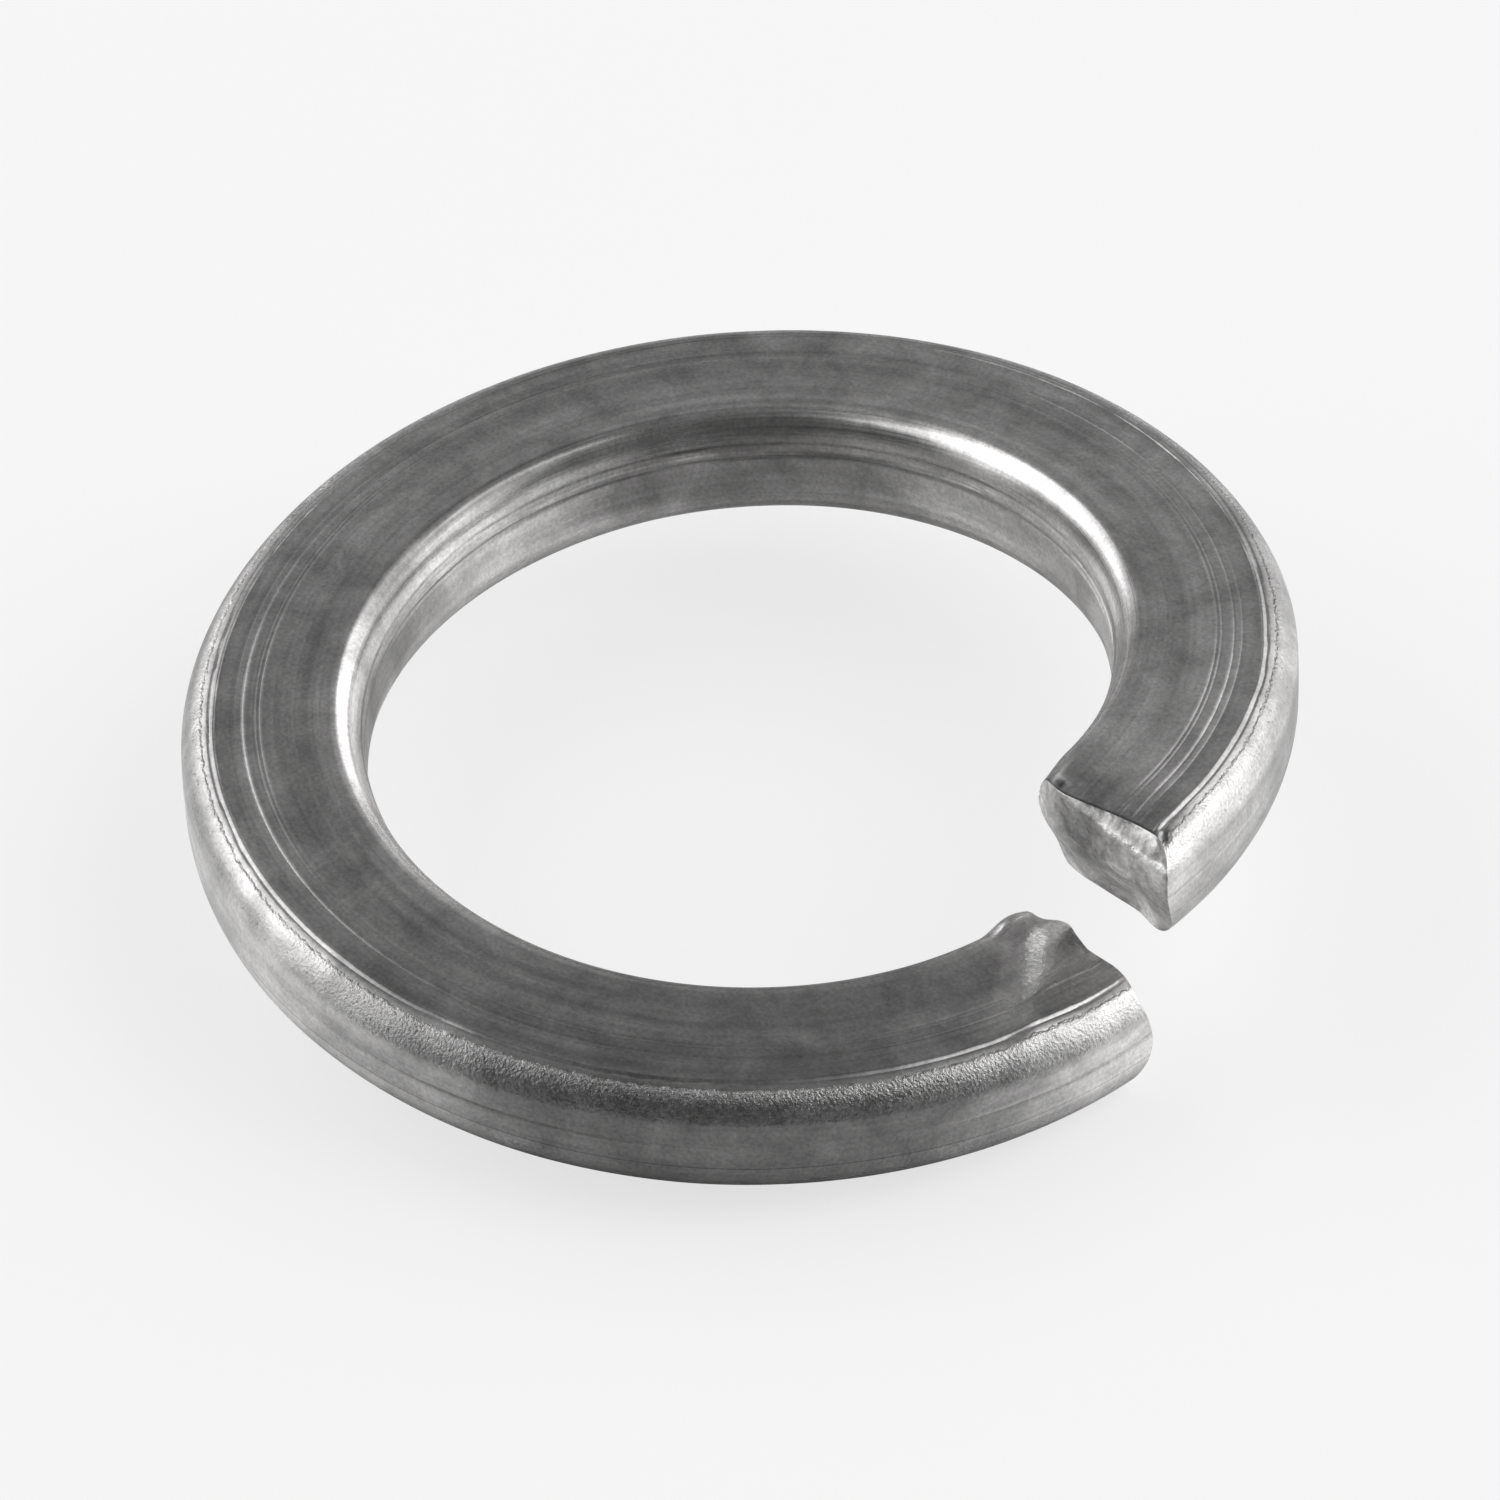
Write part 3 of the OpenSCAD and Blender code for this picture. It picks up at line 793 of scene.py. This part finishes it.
# %% Fields of the finish
# The underside's high tone is painted light, which brightens the lower inner rounding where it mirrors
# the shaded floor next to the washer.
ZONES = {"underside": 0.7, "rounding": 0.6, "wall": 0.54, "bore": 0.58, "inner": 0.62, "sheared": 0.54}
NOISES = {
    "patches": (420, 3, 0.6, 0.5), "clouds": (1100, 4, 0.65, 0.6), "gaps": (1900, 2, 0.5),
    "tear": (2600, 3, 0.65), "ragged": (3400, 3, 0.7), "pits": (4200, 2, 0.6),
    "burnish": (5200, 2, 0.6), "speckle": (6500, 2, 0.65), "grain": (8200, 3, 0.6),
}
STRETCHED = {"streaks": (60, 9000, 3, 0.6), "bands": (35, 1300, 3, 0.55, 0.3), "wavy": (120, 900, 2)}
SIDES = {
    "front": (-45, 0.55), "right": (45, 0.72), "right_back": (92, 0.8), "back_left": (182, 0.8),
    "left": (232, 0.66), "left_front": (252, 0.7),
}
SIDE_FULL = 0.97
GRAIN_U, EDGE_W, RAGGED_W = 6.1 * MM, 0.05 * MM, 0.35 * MM
COARSE_U, FINE_SHARE = (6.15 * MM, 6.7 * MM), 0.55


def side_field(tree, flat, radius, azimuth, faded):
    """1 on the side of the ring at an azimuth and 0 from where the cosine of the angle to it has
    fallen to a given value: the cosine is the dot product with its direction over the radius."""
    a = math.radians(azimuth)
    reach = vector_maths(tree, "DOT_PRODUCT", flat, (math.cos(a), math.sin(a), 0))["Value"]
    return remap(tree, maths(tree, "DIVIDE", reach, radius), faded, SIDE_FULL, 0, 1)


def steel_fields(tree):
    """All fields by name: the masks, the distance u from the bore wall, the way around the
    section, the noises, the sides, and the sandy grain from a ragged line outwards."""
    field = {name: attribute(tree, name) for name in (*ZONES, "top", "stain_and_light")}
    here = node(tree, "ShaderNodeTexCoord").outputs["Object"]
    wire = node(tree, "ShaderNodeAttribute", attribute_name="wire").outputs["Vector"]
    flat = vector_maths(tree, "MULTIPLY", here, (1, 1, 0))["Vector"]
    radius = vector_maths(tree, "LENGTH", flat)["Value"]
    field["u"] = maths(tree, "SUBTRACT", radius, BORE_R)
    field["around"] = node(tree, "ShaderNodeSeparateXYZ", {0: wire}).outputs["Y"]
    for name, settings in NOISES.items():
        field[name] = noise(tree, here, *settings)
    for name, (along, around, *settings) in STRETCHED.items():
        field[name] = noise(tree, stretched(tree, wire, along, around), 1, *settings)
    for name, (azimuth, faded) in SIDES.items():
        field[name] = side_field(tree, flat, radius, azimuth, faded)
    wander = times(tree, maths(tree, "SUBTRACT", field["ragged"], 0.5), RAGGED_W)
    field["edge"] = maths(tree, "ADD", field["u"], wander)
    outside = remap(tree, field["edge"], GRAIN_U - EDGE_W, GRAIN_U + EDGE_W, 0, 1)
    field["sandy"] = times(tree, outside, field["rounding"])
    field["plain"] = maths(tree, "SUBTRACT", 1, field["sheared"])
    field["smooth"] = maths(tree, "SUBTRACT", 1, field["sandy"])
    field["inside"] = maths(tree, "ADD", field["bore"], field["inner"])
    field["coarse"] = times(tree, field["sandy"], remap(tree, field["u"], *COARSE_U, 1, FINE_SHARE))
    # The pale part of the stain mask, burnished metal and painted highlights, also adds relief.
    field["burnished_and_highlit"] = remap(tree, field["stain_and_light"], -0.4, -1, 0, 1)
    return field


print("noises", len(NOISES) + len(STRETCHED), "and sides", len(SIDES))

# %% [markdown]
# The colour of each zone is its own reflectance. The factors by side are painted light: they
# paint shade on the front and on some other sides of the ring, and highlights on others. Bands
# run round the coil, such as the smooth land beside the bead; on the inner edge, a painted
# highlight at the left front and a painted shade and highlight at the back left. Each has the
# field that it is measured in, its middle and half width, its factor, and the masks that it is
# held to. The lines along the bore's crease, painted shade with a painted highlight between,
# have a place past it and a factor.

# %% Tones of the steel
TOP_TONE, STAIN_AND_LIGHT_TONES, TINT = 0.42, (1.84, 0.16), (0.985, 0.98)
# Painted light by side: factors under 1 paint shade, factors over 1 paint highlights.
SIDE_SHADING = (
    ("front", "plain", 0.64), ("front", "rounding", 0.9),
    ("right", "bore", 1.5), ("right", "wall", 0.78), ("right", "rounding", 0.87),
    ("right_back", "bore", 0.78), ("right_back", "top", 1.07), ("back_left", "top", 0.94),
    ("left", "top", 0.87), ("left", "bore", 0.68), ("left", "inner", 1.25),
)
TOP_EDGE_AROUND, CREASE_AROUND = (
    float(AROUND[STRETCH == name][0] - AROUND[0]) for name in ("inner", "bore")
)
BANDS = (
    ("u", 5.85 * MM, 0.3 * MM, 0.8, ["plain"]),
    ("u", 1.65 * MM, 0.5 * MM, 1.12, ["plain"]),
    # Painted highlight: a brighter inner edge at the left front.
    ("u", 1.1 * MM, 0.75 * MM, 1.4, ["plain", "left_front"]),
    ("around", 0, 0.07 * MM, 0.5, []),
    # Painted shade over the highlight, then a painted highlight lower down, on the inner edge at the
    # back left.
    ("around", TOP_EDGE_AROUND + 0.5 * MM, 0.8 * MM, 0.26, ["inner", "back_left"]),
    ("around", TOP_EDGE_AROUND + 1.4 * MM, 0.5 * MM, 1.4, ["inner", "back_left"]),
)
# The crease lines are painted shade, with a painted highlight line between them.
CREASE_SHADING_LINES = ((-0.12 * MM, 0.35), (0.2 * MM, 1.6), (0.48 * MM, 0.45))
CREASE_LINE_W, CREASE_WAVE = 0.14 * MM, 0.3 * MM
# The ragged line's darkening is painted shade along the grain's edge.
PIT_TONE, RAGGED_SHADE = 0.6, 0.6
# On the left side the grain gets a painted highlight near the bead and painted shade further out.
GRAIN_FADE_U, LEFT_GRAIN_SHADING = (6.2 * MM, 6.7 * MM), (1.3, 0.68)
print("crease lies", round(CREASE_AROUND / MM, 2), "mm around the section")

# %% [markdown]
# The tone starts as one number for each zone. Every later step multiplies it by a factor that
# is 1 where the step doesn't act, so the order of the steps doesn't matter.

# %% Steel colour
def zone_tone(tree, field):
    """Each zone's tone, times factors that follow the patches, the clouds of the sheared ends,
    the bands along the wire and the speckles."""
    tone = TOP_TONE
    for name, zone in ZONES.items():
        tone = blend(tree, field[name], tone, zone)
    cloudy = remap(tree, field["clouds"], 0.36, 0.64, 0.7, 1.3)
    return times(
        tree, tone,
        mottled(tree, field["patches"], 0.73, 1.23),
        blend(tree, field["sheared"], 1, cloudy),
        blend(tree, field["plain"], 1, mottled(tree, field["bands"], 0.79, 1.23)),
        mottled(tree, field["speckle"], 0.82, 1.16),
    )


def side_and_band_tone(tree, field, tone):
    """The tone times the factors of the ring's sides, which are painted shade and highlights, and
    of the bands round the coil, a few of which are painted shade and highlights too.
    """
    for side, zone, factor in SIDE_SHADING:
        tone = scaled(tree, tone, factor, times(tree, field[side], field[zone]))
    for way, middle, width, factor, masks in BANDS:
        band = times(tree, near(tree, field[way], middle, width), *(field[name] for name in masks))
        tone = scaled(tree, tone, factor, band)
    return tone


def line_tone(tree, field, tone):
    """The tone darker in the grain's pits and in the ragged line at its edge, which is painted
    shade, changed in the wavy lines along the bore's crease, which are painted shade with a
    painted highlight between, and fading across the grain on the left side, from a painted
    highlight near the bead to painted shade further out."""
    pits = remap(tree, field["pits"], 0.28, 0.36, 1, 0)
    tone = scaled(tree, tone, PIT_TONE, times(tree, pits, field["sandy"]))
    ragged = near(tree, field["edge"], GRAIN_U, EDGE_W)
    broken = remap(tree, field["gaps"], 0.46, 0.6, 0, 1)
    tone = scaled(tree, tone, RAGGED_SHADE, times(tree, ragged, field["plain"], broken))
    drop = maths(tree, "ADD", field["around"], times(tree, field["wavy"], CREASE_WAVE))
    patchy = remap(tree, field["patches"], 0.35, 0.6, 0.35, 1)
    for middle, factor in CREASE_SHADING_LINES:
        line = near(tree, drop, CREASE_AROUND + middle, CREASE_LINE_W)
        tone = scaled(tree, tone, factor, times(tree, line, field["plain"], patchy))
    fade = remap(tree, field["u"], *GRAIN_FADE_U, *LEFT_GRAIN_SHADING)
    return times(tree, tone, blend(tree, times(tree, field["sandy"], field["left"]), 1, fade))


def steel_colour(tree, field):
    """The tone with all its factors, the stain and painted light last, as a grey with a trace of
    warmth.
    """
    tone = line_tone(tree, field, side_and_band_tone(tree, field, zone_tone(tree, field)))
    tone = times(tree, tone, remap(tree, field["stain_and_light"], -STAIN_AND_LIGHT_MAX, STAIN_AND_LIGHT_MAX, *STAIN_AND_LIGHT_TONES))
    green, blue = (times(tree, tone, tint) for tint in TINT)
    return node(tree, "ShaderNodeCombineColor", {0: tone, 1: green, 2: blue}).outputs[0]


print("factors by side", len(SIDE_SHADING), "and bands", len(BANDS))

# %% [markdown]
# Relief that is too fine for the mesh is a height in metres, given to a Bump node: fine
# streaks on the rolled faces, a sandy grain on the outer rounding and a coarser tear on the
# sheared ends. Each row has a noise, a mask and a height in micrometres.

# %% Steel roughness and fine relief
MICRON = 1e-6
RELIEF = (
    ("streaks", "plain", 1.3), ("bands", "inside", 14), ("grain", "coarse", 58),
    ("tear", "sheared", 26), ("speckle", "smooth", 1.6), ("burnish", "burnished_and_highlit", 22),
)


def steel_roughness(tree, field):
    """Roughness of the rolled faces, then of the inner edge, the grain and the sheared ends."""
    rough = mottled(tree, field["streaks"], 0.32, 0.42)
    rough = blend(tree, field["inner"], rough, mottled(tree, field["streaks"], 0.22, 0.36))
    rough = blend(tree, field["sandy"], rough, remap(tree, field["speckle"], 0.35, 0.65, 0.28, 0.4))
    return blend(tree, field["sheared"], rough, mottled(tree, field["patches"], 0.38, 0.5))


def steel_height(tree, field):
    """Height of the fine relief in metres: the sum of the noises, each times its mask and its
    own height."""
    height = 0
    for texture, mask, microns in RELIEF:
        part = times(tree, field[texture], field[mask], microns * MICRON)
        height = maths(tree, "ADD", height, part)
    return height


print("layers of fine relief", len(RELIEF))

# %% [markdown]
# The finish is one metal.

# %% The dressed washer
def steel():
    """One metal with the colour, roughness and relief from above."""
    material = bpy.data.materials.new("rolled_steel")
    material.use_nodes = True
    tree = material.node_tree
    shader = tree.nodes["Principled BSDF"]
    shader.inputs["Metallic"].default_value = 1
    field = steel_fields(tree)
    tree.links.new(steel_colour(tree, field), shader.inputs["Base Color"])
    tree.links.new(steel_roughness(tree, field), shader.inputs["Roughness"])
    height = steel_height(tree, field)
    bump = node(tree, "ShaderNodeBump", {"Strength": 1, "Distance": 1, "Height": height})
    tree.links.new(bump.outputs[0], shader.inputs["Normal"])
    print("nodes in the finish", len(tree.nodes))
    return material


washer = bpy.data.objects.new("washer_skin", mesh)
bpy.context.scene.collection.objects.link(washer)
mesh.materials.append(steel())
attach(washer, "root")
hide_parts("washer")
print("skin box", [round(x / MM, 3) for x in washer.dimensions], "mm")

# %% [markdown]
# The washer lies on a plain pale floor that fills the whole view. A product photo has an
# almost even background, brighter than a matt floor would be, so the camera sees a floor
# that also glows a little, and the metal sees a greyer one with a soft gloss.

# %% Floor
FLOOR_HALF = 3.0
FLOOR_SEEN, FLOOR_FOR_METAL, FLOOR_GLOSS = 0.9, 0.68, 0.5
FLOOR_GLOW, GLOW_SHARE = 0.99, 0.72


def floor_material():
    """For rays from the camera a mix of a matt surface and a glow, for all others a mix of a
    greyer matt surface and a gloss, with faint wide clouds."""
    material = bpy.data.materials.new("pale_floor")
    material.use_nodes = True
    tree = material.node_tree
    shader = tree.nodes["Principled BSDF"]
    shader.inputs["Roughness"].default_value = 0.9
    shader.inputs["Specular IOR Level"].default_value = 0
    here = node(tree, "ShaderNodeTexCoord").outputs["Object"]
    seen = node(tree, "ShaderNodeLightPath").outputs["Is Camera Ray"]
    cloud = mottled(tree, noise(tree, here, 3, 2), 0.99, 1)
    level = times(tree, cloud, blend(tree, seen, FLOOR_FOR_METAL, FLOOR_SEEN))
    colour = node(tree, "ShaderNodeCombineColor", {0: level, 1: level, 2: level})
    tree.links.new(colour.outputs[0], shader.inputs["Base Color"])
    gloss = node(tree, "ShaderNodeBsdfGlossy", {"Color": (1, 1, 1, 1), "Roughness": 0.3})
    unseen = times(tree, maths(tree, "SUBTRACT", 1, seen), FLOOR_GLOSS)
    matt = node(tree, "ShaderNodeMixShader", {0: unseen, 1: shader.outputs[0], 2: gloss.outputs[0]})
    glow = node(tree, "ShaderNodeEmission", {"Color": (1, 1, 1, 1), "Strength": FLOOR_GLOW})
    glowing = times(tree, seen, GLOW_SHARE)
    mixed = node(tree, "ShaderNodeMixShader", {0: glowing, 1: matt.outputs[0], 2: glow.outputs[0]})
    tree.links.new(mixed.outputs[0], tree.nodes["Material Output"].inputs["Surface"])
    return material


corner = np.array([[-1, -1, 0], [1, -1, 0], [1, 1, 0], [-1, 1, 0]]) * FLOOR_HALF
floor_mesh = bpy.data.meshes.new("floor")
floor_mesh.from_pydata(corner.tolist(), [], [(0, 1, 2, 3)])
floor_mesh.materials.append(floor_material())
floor = bpy.data.objects.new("floor", floor_mesh)
bpy.context.scene.collection.objects.link(floor)
print("floor", FLOOR_HALF * 2, "m wide")

# %% [markdown]
# The camera looks down at about 41 degrees with the gap on its right. A long lens, only
# 0.2 m away, gives the mild perspective of a close product picture. The aim point and a
# slight roll place the washer in the frame.

# %% Camera
IMAGE_PX = 1500
FOCAL_PX = 5441
VIEW_AZIMUTH, VIEW_ELEVATION, VIEW_ROLL = (math.radians(x) for x in (45.09, 40.94, -2.49))
DISTANCE = 207.6 * MM
AIM_HEIGHT = 5.6 * MM
SHIFT_RIGHT, SHIFT_UP = 0.472 * MM, -1.2 * MM


def direction(azimuth, elevation):
    """Unit vector at an azimuth, counted from -Y towards +X, and at an elevation."""
    flat = math.cos(elevation)
    return Vector((math.sin(azimuth) * flat, -math.cos(azimuth) * flat, math.sin(elevation)))


def camera_axes():
    """Right, up and back of the camera: back points from the aim to the camera, and right and
    up are turned about it by the roll."""
    back = direction(VIEW_AZIMUTH, VIEW_ELEVATION)
    level = Vector((math.cos(VIEW_AZIMUTH), math.sin(VIEW_AZIMUTH), 0))
    right = level * math.cos(VIEW_ROLL) + back.cross(level) * math.sin(VIEW_ROLL)
    return right, back.cross(right), back


right, upward, back = camera_axes()
aim = Vector((0, 0, AIM_HEIGHT)) + right * SHIFT_RIGHT + upward * SHIFT_UP
lens = bpy.data.cameras.new("camera")
lens.sensor_width = 36
lens.lens = lens.sensor_width * FOCAL_PX / IMAGE_PX
lens.clip_start, lens.clip_end = 0.01, 20
camera = bpy.data.objects.new("camera", lens)
bpy.context.scene.collection.objects.link(camera)
turned = Matrix((right, upward, back)).transposed().to_4x4()
camera.matrix_world = Matrix.Translation(aim + back * DISTANCE) @ turned
bpy.context.scene.camera = camera
print("lens", round(lens.lens, 1), "mm")

# %% [markdown]
# Metal shows what surrounds it. Three soft panels put the bright bands on the roundings: two
# large ones at the sides, a little behind the washer, and a narrow one at the right front.
# Each has degrees to the right of the view, degrees up, a width and height in metres, and
# watts. The sky is grey and brightens towards the far side, which the top face mirrors.

# %% Lights
PANELS = {
    "right_panel": (114, 27, 0.68, 0.48, 1.3), "left_panel": (-106, 32, 0.68, 0.46, 1.7),
    "right_front_panel": (76, 40, 0.26, 0.5, 0.84),
}
PANEL_FAR = 0.45
SKY_NEAR, SKY_FAR, SKY_SPAN = 0.09, 0.31, (0.1, 0.95)


def panel(name, azimuth, elevation, width, height, watts):
    """A rectangular area light that faces the washer from a direction relative to the view."""
    data = bpy.data.lights.new(name, "AREA")
    data.shape = "RECTANGLE"
    data.size, data.size_y = width, height
    data.energy = watts
    made = bpy.data.objects.new(name, data)
    bpy.context.scene.collection.objects.link(made)
    towards = direction(VIEW_AZIMUTH + math.radians(azimuth), math.radians(elevation))
    made.location = towards * PANEL_FAR
    made.rotation_mode = "QUATERNION"
    made.rotation_quaternion = towards.to_track_quat("Z", "Y")


for name, settings in PANELS.items():
    panel(name, *settings)
world = bpy.data.worlds.new("studio")
world.use_nodes = True
tree = world.node_tree
looked_at = node(tree, "ShaderNodeTexCoord").outputs["Generated"]
away = tuple(-direction(VIEW_AZIMUTH, 0))
facing_away = vector_maths(tree, "DOT_PRODUCT", looked_at, away)["Value"]
sky = remap(tree, facing_away, *SKY_SPAN, SKY_NEAR, SKY_FAR)
tree.nodes["Background"].inputs["Color"].default_value = (1, 1, 1, 1)
tree.links.new(sky, tree.nodes["Background"].inputs["Strength"])
bpy.context.scene.world = world
bpy.context.scene.view_settings.view_transform = "Standard"
print("lights placed:", len(PANELS), "panels and the sky")
